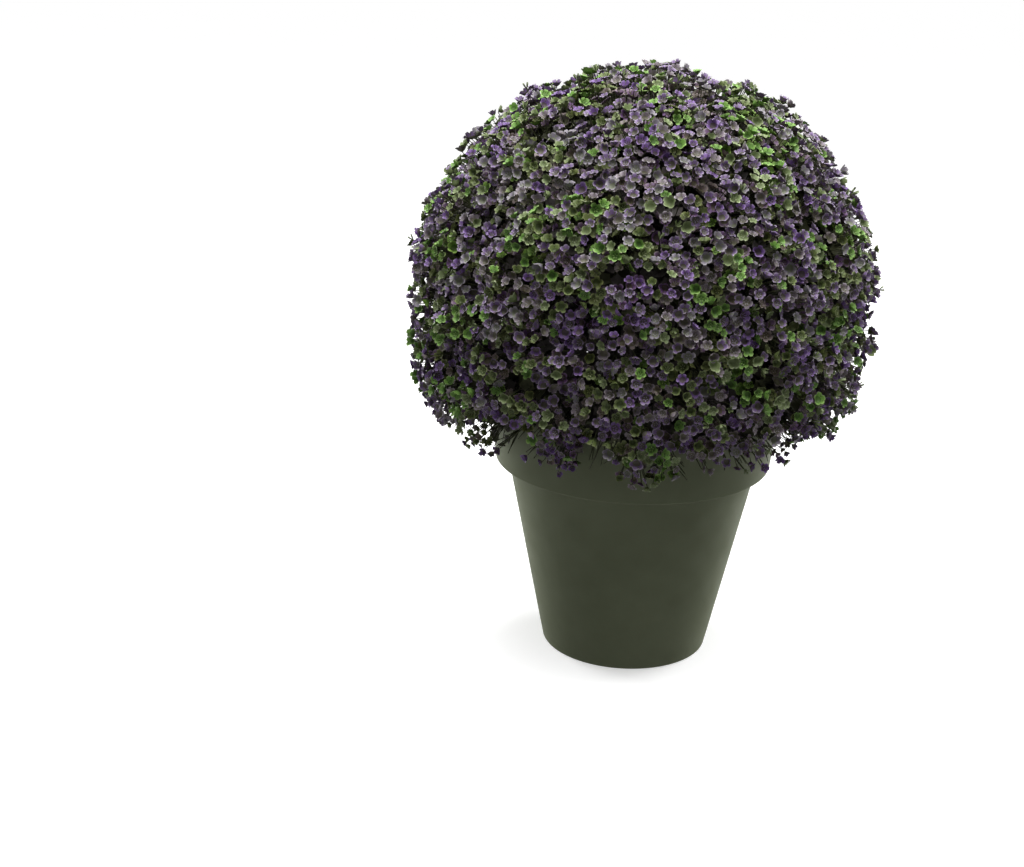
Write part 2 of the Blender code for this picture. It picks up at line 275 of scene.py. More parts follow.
# Linear colours of the heart, lobes and rim of each class of floret. A heart is the floret's own
# grey-green centre, darkened as painted shade in the cup; a rim is its own pale edge, lightened as a
# painted highlight where light shines through the thin plastic.
FLORET_TONES = {
    "violet": ((0.097, 0.091, 0.067), (0.145, 0.096, 0.199), (0.228, 0.190, 0.261)),
    "deep": ((0.070, 0.054, 0.059), (0.120, 0.064, 0.196), (0.180, 0.123, 0.254)),
    "frosted": ((0.155, 0.166, 0.116), (0.166, 0.148, 0.178), (0.226, 0.208, 0.232)),
    "lilac": ((0.116, 0.110, 0.078), (0.146, 0.121, 0.141), (0.217, 0.192, 0.212)),
    "green": ((0.066, 0.128, 0.027), (0.121, 0.236, 0.046), (0.188, 0.296, 0.086)),
    "pale": ((0.128, 0.162, 0.070), (0.144, 0.186, 0.078), (0.215, 0.252, 0.140)),
    "olive": ((0.048, 0.066, 0.019), (0.091, 0.121, 0.037), (0.151, 0.175, 0.079)),
}
CLASSES = tuple(FLORET_TONES)


class ColourSettings(bpy.types.PropertyGroup):
    """The florets' and the twigs' colours."""

    twig: colour("Twig", (0.044, 0.050, 0.022), "Twigs, boughs and trunk")
    # The inner colour is painted shade: florets deep inside the ball are darkened where shade falls
    # among them.
    inner: colour("Inner", (0.050, 0.050, 0.027), "Florets deep inside the ball")


def tone_key(label, band):
    """Name of the setting for one band of a class of floret."""
    return f"{label}_{band.lower()}"


for label, tones in FLORET_TONES.items():
    for band, tone in zip(BANDS, tones):
        setting = colour(f"{label.capitalize()} {band.lower()}", tone, f"{band}s of the {label} florets")
        ColourSettings.__annotations__[tone_key(label, band)] = setting


class StageSettings(bpy.types.PropertyGroup):
    """Camera, floor and light."""

    distance: size("Camera distance", 1.773, "Camera to the pot's axis, along the floor")
    height: size("Camera height", 0.846, "Camera over the floor")
    lens: share("Lens", 58.92, "Focal length in millimetres on a 36 mm frame")
    pan: share("Pan", -4.36, "Turn to the right, in degrees")
    tilt: share("Tilt", 18.89, "Turn down, in degrees")
    roll: share("Roll", 1.49, "Roll, in degrees")
    floor: colour("Floor", (0.74, 0.74, 0.74), "The pale floor")
    floor_glow: share("Floor glow", 0.42, "Light that the floor adds of its own")
    sky: share("Sky", 0.218, "Light from all round")
    overhead: share("Overhead", 1.85, "Broad light from above")
    canopy: share("Canopy", 23.0, "Power of the softbox above, in watts")
    flank: share("Flank", 60.0, "Power of each softbox behind, in watts")


SETTING_GROUPS = {
    "verbena_pot": PotSettings,
    "verbena_florets": FloretSettings,
    "verbena_colours": ColourSettings,
    "verbena_stage": StageSettings,
}


def settings(name):
    """One of the scene's groups of settings."""
    return getattr(bpy.context.scene, "verbena_" + name)


# --- nodes and materials
def add_node(tree, kind, inputs, **traits):
    """The outputs of a new node whose inputs are set to values or linked."""
    made = tree.nodes.new(kind)
    for key, value in traits.items():
        setattr(made, key, value)
    for key, value in inputs.items():
        if isinstance(value, bpy.types.NodeSocket):
            tree.links.new(value, made.inputs[key])
        else:
            made.inputs[key].default_value = value
    return made.outputs


def new_material(name, base, roughness):
    """A Principled material, its node tree and its shader."""
    material = bpy.data.materials.new(name)
    material.use_nodes = True
    shader = material.node_tree.nodes["Principled BSDF"]
    shader.inputs["Base Color"].default_value = (*base, 1)
    shader.inputs["Roughness"].default_value = roughness
    material.diffuse_color = (*base, 1)
    return material, material.node_tree, shader


def add_noise(tree, scale, detail):
    """A noise on Object coordinates."""
    place = add_node(tree, "ShaderNodeTexCoord", {})["Object"]
    inputs = {"Vector": place, "Scale": scale, "Detail": detail}
    return add_node(tree, "ShaderNodeTexNoise", inputs)["Fac"]


def add_bump(tree, shader, height, strength, distance):
    """Relief on a shader from a height."""
    inputs = {"Height": height, "Strength": strength, "Distance": distance}
    tree.links.new(add_node(tree, "ShaderNodeBump", inputs)["Normal"], shader.inputs["Normal"])


def add_ramp(tree, factor, low, high, colours):
    """A colour ramp over a factor, between two stops."""
    ramp = tree.nodes.new("ShaderNodeValToRGB")
    for element, position, tone in zip(ramp.color_ramp.elements, (low, high), colours):
        element.position = position
        element.color = (*tone, 1)
    tree.links.new(factor, ramp.inputs["Fac"])
    return ramp.outputs["Color"]


GLOSS = "Specular IOR Level"
POT_GLOSS = 0.20
LEAF_GLOSS = 0.22
POT_ROUGHNESS = ((0.66,) * 3, (0.78,) * 3)  # of the pot's smoother and its duller patches


def pot_material():
    """Matt olive-green plastic with a faint bloom and a fine grain."""
    chosen = settings("pot")
    material, tree, shader = new_material("pot_plastic", chosen.plastic, 0.6)
    shader.inputs[GLOSS].default_value = POT_GLOSS
    cloud = add_noise(tree, scale=9.0, detail=4.0)
    tones = (tuple(chosen.plastic), tuple(chosen.bloom))
    tone = add_ramp(tree, cloud, low=0.35, high=0.75, colours=tones)
    tree.links.new(tone, shader.inputs["Base Color"])
    patches = add_noise(tree, scale=40.0, detail=3.0)
    dullness = add_ramp(tree, patches, low=0.2, high=0.8, colours=POT_ROUGHNESS)
    tree.links.new(dullness, shader.inputs["Roughness"])
    grain = add_noise(tree, scale=900.0, detail=2.0)
    add_bump(tree, shader, grain, strength=0.25, distance=0.0002)
    return material


def mottled_material(name, tone, paler, roughness, scale, detail, strength, distance):
    """A material whose tone goes paler with a noise that also gives its relief."""
    material, tree, shader = new_material(name, tone, roughness)
    mottling = add_noise(tree, scale, detail)
    pale = tuple(min(1.0, paler * part) for part in tone)
    mixed = add_ramp(tree, mottling, low=0.35, high=0.7, colours=(tuple(tone), pale))
    tree.links.new(mixed, shader.inputs["Base Color"])
    add_bump(tree, shader, mottling, strength, distance)
    return material


def filler_material():
    """Dull brown filler, like rough peat."""
    tone = settings("pot").filler
    grain = {"scale": 220.0, "detail": 6.0, "strength": 0.8, "distance": 0.003}
    return mottled_material("filler_rough", tone, paler=2.4, roughness=0.95, **grain)


def stem_material():
    """Dark green moulded plastic of the trunk and boughs."""
    tone = settings("colours").twig
    grain = {"scale": 160.0, "detail": 4.0, "strength": 0.5, "distance": 0.0008}
    return mottled_material("stem_plastic", tone, paler=2.2, roughness=0.55, **grain)


def leaf_plastic(name, base, roughness=0.50):
    """Thin moulded plastic in one plain colour, with a faint veining in relief."""
    material, tree, shader = new_material(name, base, roughness)
    shader.inputs[GLOSS].default_value = LEAF_GLOSS
    veining = add_noise(tree, scale=700.0, detail=2.0)
    add_bump(tree, shader, veining, strength=0.3, distance=0.0003)
    return material


# --- pieces
def add_object(name, data):
    """A new object in the scene."""
    made = bpy.data.objects.new(name, data)
    bpy.context.scene.collection.objects.link(made)
    return made


def new_mesh(name, points, edges=(), faces=()):
    """A mesh of points, edges and faces."""
    mesh = bpy.data.meshes.new(name)
    mesh.from_pydata(points, edges, faces)
    return mesh


def store(mesh, name, kind, values, domain="POINT"):
    """Writes an attribute of a mesh."""
    mesh.attributes.new(name, kind, domain).data.foreach_set("value", values)


def add_piece(name, mesh, material, replaced):
    """A finished piece that rides on the body and stands for its CAD nodes."""
    made = add_object(name, mesh)
    if material is not None:
        mesh.materials.clear()
        mesh.materials.append(material)
    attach(made, BODY)
    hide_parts(*replaced)


def turned_mesh(name, profile, sides):
    """A body turned about Z from (radius, height) points, from axis to axis."""
    work = bmesh.new()
    points = [work.verts.new((radius, 0, height)) for radius, height in profile]
    edges = [work.edges.new(pair) for pair in zip(points, points[1:])]
    bmesh.ops.spin(
        work,
        geom=points + edges,
        axis=(0, 0, 1),
        cent=(0, 0, 0),
        steps=sides,
        angle=2 * math.pi,
        use_merge=True,
    )
    bmesh.ops.remove_doubles(work, verts=work.verts, dist=0.00001)
    bmesh.ops.recalc_face_normals(work, faces=work.faces)
    mesh = bpy.data.meshes.new(name)
    work.to_mesh(mesh)
    work.free()
    mesh.shade_smooth()
    return mesh


CORNER_SHARE = 0.45  # most of a side that the rounding of one corner takes up


def rounded(profile, radius, steps=4):
    """A profile whose inner corners are rounded by curves that start a radius away."""
    made = [profile[0]]
    for before, corner, after in zip(profile, profile[1:], profile[2:]):
        corner = Vector(corner)
        to_before = Vector(before) - corner
        to_after = Vector(after) - corner
        start = corner + to_before.normalized() * min(radius, to_before.length * CORNER_SHARE)
        end = corner + to_after.normalized() * min(radius, to_after.length * CORNER_SHARE)
        for i in range(steps + 1):
            along = i / steps
            point = start.lerp(corner, along).lerp(corner.lerp(end, along), along)
            made.append(tuple(point))
    made.append(profile[-1])
    return made


def pot_inner_radius(height):
    """Inner radius of the pot's tapering body at a height."""
    part = height / POT_BODY_HEIGHT
    return POT_BASE_RADIUS + (POT_BODY_TOP_RADIUS - POT_BASE_RADIUS) * part - POT_WALL


def pot_profile():
    """The pot's outline: underside, outside, then inside."""
    ledge = POT_BODY_HEIGHT + POT_WALL
    return (
        (0, 0),
        (POT_BASE_RADIUS, 0),
        (POT_BODY_TOP_RADIUS, POT_BODY_HEIGHT),
        (POT_COLLAR_FOOT_RADIUS, POT_BODY_HEIGHT),
        (POT_COLLAR_TOP_RADIUS, POT_HEIGHT),
        (POT_COLLAR_TOP_RADIUS - POT_WALL, POT_HEIGHT),
        (POT_COLLAR_FOOT_RADIUS - POT_WALL, ledge),
        (pot_inner_radius(ledge), ledge),
        (pot_inner_radius(POT_FLOOR), POT_FLOOR),
        (0, POT_FLOOR),
    )


class VERBENA_OT_pot(bpy.types.Operator):
    """Make the plastic pot"""

    bl_idname = "verbena.pot"
    bl_label = "Pot"

    def execute(self, context):
        profile = rounded(pot_profile(), settings("pot").edge)
        mesh = turned_mesh("pot_shell", profile, POT_SIDES)
        add_piece("pot_shell", mesh, pot_material(), ("pot",))
        return {"FINISHED"}


FILLER_SIDES = 96
FILLER_ROWS = 26
FILLER_CLEARANCE = 1.5 * GAP
FILLER_FALL = 0.004  # from the filler's level middle down to its brim
FILLER_SLOPE = 1.35  # how soon, from the brim in, the top becomes level
FILLER_SEAT = 0.002  # level ring left round the trunk
FILLER_EDGE = 0.001  # level edge left at the brim
LUMP_DEPTH = 0.0022
LUMP_SCALE = 90


class VERBENA_OT_filler(bpy.types.Operator):
    """Make the rough block of filler"""

    bl_idname = "verbena.filler"
    bl_label = "Filler"

    def execute(self, context):
        brim = FILLER_HIGH.z - FILLER_FALL
        rim = pot_inner_radius(brim) - FILLER_CLEARANCE
        profile = [(0, FILLER_LOW.z), (pot_inner_radius(FILLER_LOW.z) - FILLER_CLEARANCE, FILLER_LOW.z)]
        for i in range(FILLER_ROWS + 1):
            inward = i / FILLER_ROWS
            profile.append((rim * (1 - inward), brim + FILLER_FALL * min(1, FILLER_SLOPE * inward)))
        mesh = turned_mesh("filler_block", profile, FILLER_SIDES)
        seat = TRUNK_FLARE_RADIUS + FILLER_SEAT
        for point in mesh.vertices:
            on_top = point.co.z >= brim - FILLER_EDGE
            if on_top and seat <= math.hypot(point.co.x, point.co.y) <= rim - FILLER_EDGE:
                point.co.z += LUMP_DEPTH * (noise.noise(point.co * LUMP_SCALE) - 1)
        add_piece("filler_block", mesh, filler_material(), ("filler",))
        return {"FINISHED"}


# --- trunk and boughs
def trunk_radius(height):
    """The trunk's radius above its foot: a root flare, then an even taper to the tip."""
    taper = TRUNK_FOOT_RADIUS + (TRUNK_TIP_RADIUS - TRUNK_FOOT_RADIUS) * height / TRUNK_LENGTH
    flare = max(0.0, 1 - height / TRUNK_FLARE_HEIGHT)
    return taper + (TRUNK_FLARE_RADIUS - TRUNK_FOOT_RADIUS) * flare**2


RIB_WANDER = 9  # how far, in radians, the ribs wander round a limb
RIB_SCALE = 14
KNOT_SCALE = 240
LIMB_SINK = 0.5  # mean depth of the skin under the full radius, as a share of the deepest
RIB_RELIEF = 0.15  # and how much of that the ribs and the knots give
KNOT_RELIEF = 0.5
SHARP_ANGLE = math.radians(60)


def ribbed_limb(name, path, radii, sides, ribs, depth):
    """A closed tube along a path, with lengthwise ribs and knots."""
    points, faces = [], []
    side = None
    for i, (place, radius) in enumerate(zip(path, radii)):
        along = (path[min(i + 1, len(path) - 1)] - path[max(i - 1, 0)]).normalized()
        side = across(along)[0] if side is None else (side - along * side.dot(along)).normalized()
        over = along.cross(side)
        for k in range(sides):
            angle = 2 * math.pi * k / sides
            out = side * math.cos(angle) + over * math.sin(angle)
            wave = math.sin(ribs * angle + RIB_WANDER * noise.noise(place * RIB_SCALE))
            knot = noise.noise((place + out * radius) * KNOT_SCALE)
            reach = radius * (1 - depth * (LIMB_SINK + RIB_RELIEF * wave + KNOT_RELIEF * knot))
            points.append(place + out * min(radius, reach))
    for i in range(len(path) - 1):
        for k in range(sides):
            after = (k + 1) % sides
            low, high = i * sides, (i + 1) * sides
            faces.append((low + k, low + after, high + after, high + k))
    faces.append(tuple(reversed(range(sides))))
    faces.append(tuple(range((len(path) - 1) * sides, len(path) * sides)))
    mesh = new_mesh(name, points, faces=faces)
    mesh.shade_smooth()
    mesh.set_sharp_from_angle(angle=SHARP_ANGLE)
    return mesh


def bough_path(mass, steps):
    """Points of the bough's curve, from the trunk to the foot of its mass."""
    level = Vector((mass.direction.x, mass.direction.y, 0)).normalized()
    start = level * (trunk_radius(mass.bough_height) + GAP)
    start.z = TRUNK_LOW.z + mass.bough_height
    end = BALL_CENTRE + mass.direction * (MASS_FOOT - GAP)
    pull = (end - start).length * BOUGH_PULL
    near, far = start + level * pull, end - mass.direction * pull
    made = []
    for i in range(steps + 1):
        t = i / steps
        s = 1 - t
        made.append(start * s**3 + near * 3 * t * s**2 + far * 3 * t * t * s + end * t**3)
    return made


def joined_mesh(name, meshes):
    """One mesh that holds several."""
    work = bmesh.new()
    for mesh in meshes:
        work.from_mesh(mesh)
    made = bpy.data.meshes.new(name)
    work.to_mesh(made)
    work.free()
    return made


TRUNK_STEPS = 60
TRUNK_STEP_POWER = 1.4  # the steps are closer together in the root flare
BOUGH_STEPS = 22


class VERBENA_OT_trunk(bpy.types.Operator):
    """Make the ribbed trunk and the boughs"""

    bl_idname = "verbena.trunk"
    bl_label = "Trunk and boughs"

    def execute(self, context):
        plastic = stem_material()
        shares = [(i / TRUNK_STEPS) ** TRUNK_STEP_POWER for i in range(TRUNK_STEPS + 1)]
        path = [Vector((0, 0, TRUNK_LOW.z + TRUNK_LENGTH * part)) for part in shares]
        radii = [trunk_radius(TRUNK_LENGTH * part) for part in shares]
        trunk = ribbed_limb("trunk_stem", path, radii, sides=40, ribs=9, depth=0.12)
        add_piece("trunk_stem", trunk, plastic, ("trunk",))
        taper = np.linspace(BOUGH_ROOT_RADIUS, BOUGH_TIP_RADIUS, BOUGH_STEPS + 1).tolist()
        bearers = [mass for mass in lay_out_masses() if mass.bough_height]
        nodes = [mass.bough_name for mass in bearers]
        limbs = []
        for mass in bearers:
            path = bough_path(mass, BOUGH_STEPS)
            limbs.append(ribbed_limb(mass.bough_name, path, taper, sides=12, ribs=4, depth=0.14))
        add_piece("boughs", joined_mesh("boughs", limbs), plastic, nodes)
        return {"FINISHED"}


# --- how the florets grow
# What one mass grows: an array for each measure of its florets, and the lines of its twigs.
Growth = namedtuple("Growth", "place axis width spin layer spray kind twigs")

SPRAY_TURN_SCATTER = 0.2
SPRAY_START = 0.4  # how far out the first spray of a mass lies, against the others


def spray_rays(mass, number):
    """Directions of the mass's sprays, settled over its space."""
    chance = random.Random(SEED * 100 + number)
    distance = mass.reach - SPRAY_RADIUS * SPRAY_DEPTH
    order = np.arange(mass.sprays)
    scatter = [chance.uniform(-SPRAY_TURN_SCATTER, SPRAY_TURN_SCATTER) for _ in order]
    turns = order * GOLDEN_ANGLE + scatter
    rays = mass.leaning(turns, np.sqrt((order + SPRAY_START) / mass.sprays), distance, SPRAY_RADIUS)
    return mass.settle(rays, distance, SPRAY_RADIUS, SPRAY_RADIUS, SETTLING_ROUNDS)


def ball_spiral(count, offset):
    """Directions spread evenly over the whole ball in a sunflower's spiral."""
    order = np.arange(count) + 0.5
    height = 1 - 2 * order / count
    flat = np.sqrt(1 - height**2)
    turn = order * GOLDEN_ANGLE + offset
    return np.stack((flat * np.cos(turn), flat * np.sin(turn), height), axis=1)


# Layers of florets: depth, scatter and room in metres, spacing and width as shares.
Layer = namedtuple("Layer", "name depth scatter spacing width room")
LAYERS = (
    Layer("outer", -0.0045, 0.009, 1.00, 1.00, 0.0010),
    Layer("under", 0.010, 0.008, 1.06, 1.04, 0.0010),
    Layer("inner", 0.026, 0.007, 1.20, 1.35, 0.0),
    Layer("deep", 0.044, 0.014, 1.20, 2.10, 0.0),
)
INNER_FROM = 2  # the first layer whose florets are plain, and dark with painted shade
SUNKEN_SHARE = 0.12  # of the sprays, that lie deeper by the next measure
SUNKEN_DEPTH = 0.014
SPRIG_SHARE = 0.05  # of the outer florets, that are buds on longer stalks
SPRIG_RISE = 0.004


SKIRT_LINE = 0.267  # mean height of the skirt's edge
SKIRT_WAVE = 0.009  # how far its tufts hang below that
SKIRT_TUFTS = 14
HEM_TOP = 0.292  # under this height the florets are smaller
HEM_WIDTH = 0.82  # share of a floret's width at the hem
SKIRT_TUFT_TURN = 5.0  # azimuth of the front tuft, in degrees
SKIRT_FRAYING = 0.002
BREAK_ROUNDING = 0.25
# Places in the skirt where florets are few and stems are bare. Angles are in degrees.
Break = namedtuple("Break", "azimuth half_width top kept")
SKIRT_BREAKS = (
    Break(-35, 10, 0.316, 0.08),
    Break(-10.5, 5.5, 0.314, 0.03),
    Break(23, 11, 0.298, 0.25),
    Break(43, 5, 0.324, 0.06),
    Break(96, 6, 0.288, 0.30),
    Break(137, 4, 0.288, 0.15),
    Break(176, 8, 0.284, 0.40),
    Break(214, 4, 0.288, 0.12),
    Break(262, 6, 0.288, 0.35),
)
BARE_STEMS = 0.55  # share of the missing florets whose stalks still show
SKIRT_INNER_RISE = 0.014  # how far over the skirt's edge the inner layers stop


def grows_in_skirt(places, layer, chance):
    """Whether a floret grows at each place, as the skirt thins towards its ragged edge."""
    azimuth = np.degrees(np.arctan2(places[:, 0], -places[:, 1]))
    wave = np.cos(np.radians((azimuth - SKIRT_TUFT_TURN) * SKIRT_TUFTS))
    edge = SKIRT_LINE - SKIRT_WAVE * wave + chance.normal(0, SKIRT_FRAYING, len(places))
    if layer >= INNER_FROM:
        edge = edge + SKIRT_INNER_RISE
    grows = places[:, 2] > edge
    draws = chance.random(len(places))
    for gap in SKIRT_BREAKS:
        aside = np.abs((azimuth - gap.azimuth + 180) % 360 - 180) / gap.half_width
        top = gap.top - BREAK_ROUNDING * (gap.top - SKIRT_LINE) * aside**2
        inside = (aside < 1) & (places[:, 2] < top)
        grows &= ~inside | (draws < (gap.kept if layer < INNER_FROM else 0))
    return grows


HOLLOWS = 210
HOLLOW_HALF_WIDTH = 0.0130
HOLLOW_HALF_HEIGHT = 0.0090
HOLLOW_SIZES = (0.45, 1.35)  # least and most, as shares of those
HOLLOW_TURN = 0.7
HOLLOW_SCATTER = 0.06
HOLLOW_KEPT = 0.08  # share of the florets that still grow in a hollow


def grows_over_hollows(rays, layer, chance):
    """Whether a floret grows at each ray: few do in the dark hollows between the sprays."""
    if layer >= INNER_FROM:
        return np.full(len(rays), True)
    placing = np.random.default_rng(settings("florets").seed)
    middles = ball_spiral(HOLLOWS, HOLLOW_TURN) + placing.normal(0, HOLLOW_SCATTER, (HOLLOWS, 3))
    sizes = placing.uniform(*HOLLOW_SIZES, HOLLOWS)
    away = (rays[:, None] - unit(middles)[None]) * BALL_RADIUS
    over = away[:, :, 2] / HOLLOW_HALF_HEIGHT
    aside = np.linalg.norm(away[:, :, :2], axis=2) / HOLLOW_HALF_WIDTH
    inside = (np.hypot(over, aside) < sizes).any(axis=1)
    return ~inside | (chance.random(len(rays)) < HOLLOW_KEPT)


LAYER_TURN = 1.3  # of each layer's spiral against the one outside it, in radians
JITTER = 0.34  # seeded scatter of a floret's place, as a share of the spacing
ELBOW_ROOM = 0.42  # radius that settling gives a floret, likewise
LAYER_ROUNDS = 5
DOME_REACH = 1.5  # how far out, in radii of a spray, its dome still falls
SCATTER_POWER = 1.5  # over 1, so that most florets lie near the top of their layer
WIDTHS = (0.78, 1.16)  # least and most width of a floret, against the mean
HEXAGON = math.sqrt(0.75)  # area that a floret takes up, against its spacing squared
NECK_SHARE = 0.3  # how far back a floret's neck lies, as a share of its width


def grow_layer(mass, layer, sprays, steps, chance):
    """Places (from the ball's centre), axes, widths and nearest sprays of a layer's florets."""
    chosen = settings("florets")
    shape = LAYERS[layer]
    spacing = chosen.spacing * shape.spacing
    distance = mass.reach - shape.depth
    count = int(4 * math.pi * distance**2 / (HEXAGON * spacing**2))
    rays = ball_spiral(count, layer * LAYER_TURN)
    rays = rays[mass.room(rays * distance) > shape.room]
    rays = unit(rays + chance.normal(0, JITTER * spacing / distance, rays.shape))
    rays = mass.settle(rays, distance, spacing * ELBOW_ROOM, shape.room, LAYER_ROUNDS)
    gap = 1 - rays @ sprays.T
    nearest = gap.argmin(axis=1)
    aside = rays - sprays[nearest]
    edge = np.linalg.norm(aside, axis=1) * distance / SPRAY_RADIUS
    dip = mass.reach * MASS_DOMING * (1 - rays @ np.array(mass.direction))
    dip += chosen.spray_dome * np.minimum(edge, DOME_REACH) ** 2 + steps[nearest]
    dip += shape.scatter * chance.random(len(rays)) ** SCATTER_POWER
    arms = rays * (distance - dip)[:, None]
    up = np.array((0, 0, chosen.upturn))
    axis = unit(rays + up + chosen.fan * aside + chance.normal(0, chosen.looseness, rays.shape))
    width = chosen.width * shape.width * chance.uniform(*WIDTHS, len(rays))
    width *= np.where(arms[:, 2] + BALL_CENTRE.z < HEM_TOP, HEM_WIDTH, 1.0)
    fits = (mass.room(arms) > 0) & grows_over_hollows(rays, layer, chance)
    return arms[fits], axis[fits], width[fits], nearest[fits]


def grow_mass(mass, number):
    """The florets of a mass in layers, each on a twig of its nearest spray."""
    chosen = settings("florets")
    chance = np.random.default_rng(chosen.seed * 1000 + number)
    sprays = spray_rays(mass, number)
    steps = chosen.spray_step * chance.random(len(sprays))
    steps += SUNKEN_DEPTH * (chance.random(len(sprays)) < SUNKEN_SHARE)
    layers = []
    for layer in range(len(LAYERS)):
        place, axis, width, spray = grow_layer(mass, layer, sprays, steps, chance)
        grows = grows_in_skirt(place + CENTRE, layer, chance)
        bare = ~grows & (chance.random(len(place)) < BARE_STEMS) & (layer < INNER_FROM)
        bare &= place[:, 2] + BALL_CENTRE.z > SKIRT_LINE
        kind = chance.integers(0, OPEN_KINDS, len(place))
        if layer == 0:
            kind = np.where(chance.random(len(place)) < SPRIG_SHARE, OPEN_KINDS, kind)
            place = place + axis * (SPRIG_RISE * (kind == OPEN_KINDS))[:, None]
        place = place - axis * (width * NECK_SHARE)[:, None]
        spin = chance.uniform(0, 2 * math.pi, len(place))
        number_of_layer = np.full(len(place), layer)
        rows = (place, axis, width, spin, number_of_layer, spray, kind, grows)
        layers.append([row[grows | bare] for row in rows])
    place, *others, grows = (np.concatenate(rows) for rows in zip(*layers))
    axis, width, spin, layer, spray, kind = others
    twigs = grow_twigs(mass, sprays, place, axis, spray, chance)
    rows = (place + CENTRE, *others)
    return Growth(*(row[grows] for row in rows), twigs)


SPRAY_NODE_DEPTH = 0.062  # from a mass's reach in to where a spray parts into tufts
KNOT_SHARE = 0.55  # how far a tuft's knot lies from there towards its florets
KNOT_DEPTH = 0.010  # how far in it lies besides
STALK_SAG = 0.002
TUFT_FLORETS = 7
# Of each order of twig: its radii at root, bend and tip, and the seeded scatter of its bend.
STEM = ((0.0024, 0.0023, 0.0021), 0.0)
BRANCH = ((0.0019, 0.0015, 0.0012), 0.002)
TWIG = ((0.0011, 0.0010, 0.0008), 0.001)
STALK = ((0.0008, 0.0006, 0.0005), 0.0008)


def bent_line(start, end, order, chance, sag=0.0):
    """The three points of a twig with a seeded bend, and the radius at each."""
    radii, scatter = order
    bend = (start + end) / 2 - sag
    if scatter:
        bend = bend + chance.normal(0, scatter, 3)
    return CENTRE + np.array((start, bend, end)), radii


def grow_twigs(mass, sprays, place, axis, spray, chance):
    """The lines of a mass's twigs: hub to spray, spray to tuft, and tuft to floret."""
    hub = np.array(mass.direction) * TWIG_HUB
    foot = np.array(mass.direction) * MASS_FOOT
    lines = [bent_line(foot, hub, STEM, chance)]
    for number, ray in enumerate(sprays):
        members = np.flatnonzero(spray == number)
        if not len(members):
            continue
        node = ray * (mass.reach - SPRAY_NODE_DEPTH)
        lines.append(bent_line(hub, node, BRANCH, chance))
        side, over = (np.array(v) for v in across(Vector(ray)))
        angles = np.arctan2(place[members] @ over, place[members] @ side)
        order = members[np.argsort(angles)]
        for tuft in np.array_split(order, max(1, len(order) // TUFT_FLORETS)):
            knot = node * (1 - KNOT_SHARE) + place[tuft].mean(axis=0) * KNOT_SHARE - ray * KNOT_DEPTH
            lines.append(bent_line(node, knot, TWIG, chance))
            for member in tuft:
                lines.append(bent_line(knot, place[member], STALK, chance, axis[member] * STALK_SAG))
    return lines


@lru_cache
def grown():
    """What every mass grows."""
    return [grow_mass(mass, number) for number, mass in enumerate(lay_out_masses())]


# --- geometry nodes
def node_group(name, inputs):
    """A geometry node tree with inputs by (name, type), and what its input node gives."""
    tree = bpy.data.node_groups.new(name, "GeometryNodeTree")
    tree.interface.new_socket("Geometry", in_out="INPUT", socket_type="NodeSocketGeometry")
    for label, kind in inputs:
        tree.interface.new_socket(label, in_out="INPUT", socket_type=kind)
    tree.interface.new_socket("Geometry", in_out="OUTPUT", socket_type="NodeSocketGeometry")
    return tree, add_node(tree, "NodeGroupInput", {})


def named_attribute(tree, name, kind):
    """The values of an attribute."""
    return add_node(tree, "GeometryNodeInputNamedAttribute", {"Name": name}, data_type=kind)["Attribute"]


def evaluated_mesh(name, source, tree, values):
    """The plain mesh that a tree makes from a source mesh, with its inputs set by name."""
    carrier = add_object(name + "_source", source)
    modifier = carrier.modifiers.new("grow", "NODES")
    modifier.node_group = tree
    for item in tree.interface.items_tree:
        if item.in_out == "INPUT" and item.name in values:
            modifier[item.identifier] = values[item.name]
    bpy.context.view_layer.update()
    graph = bpy.context.evaluated_depsgraph_get()
    mesh = bpy.data.meshes.new_from_object(carrier.evaluated_get(graph))
    mesh.name = name
    carrier.modifiers.remove(modifier)
    bpy.data.objects.remove(carrier)
    return mesh


def tube_tree():
    """Lines of edges with a "radius" attribute, made into tubes."""
    inputs = (("Sides", "NodeSocketInt"), ("Material", "NodeSocketMaterial"))
    tree, given = node_group("twig_tubes", inputs)
    curve = add_node(tree, "GeometryNodeMeshToCurve", {"Mesh": given["Geometry"]})["Curve"]
    radius = named_attribute(tree, "radius", "FLOAT")
    round_off = {"Resolution": given["Sides"], "Radius": 1.0}
    circle = add_node(tree, "GeometryNodeCurvePrimitiveCircle", round_off)["Curve"]
    sweep = {"Curve": curve, "Profile Curve": circle, "Scale": radius}
    tube = add_node(tree, "GeometryNodeCurveToMesh", sweep)["Mesh"]
    real = add_node(tree, "GeometryNodeRealizeInstances", {"Geometry": tube})["Geometry"]
    painting = {"Geometry": real, "Material": given["Material"]}
    painted = add_node(tree, "GeometryNodeSetMaterial", painting)["Geometry"]
    add_node(tree, "NodeGroupOutput", {"Geometry": painted})
    return tree


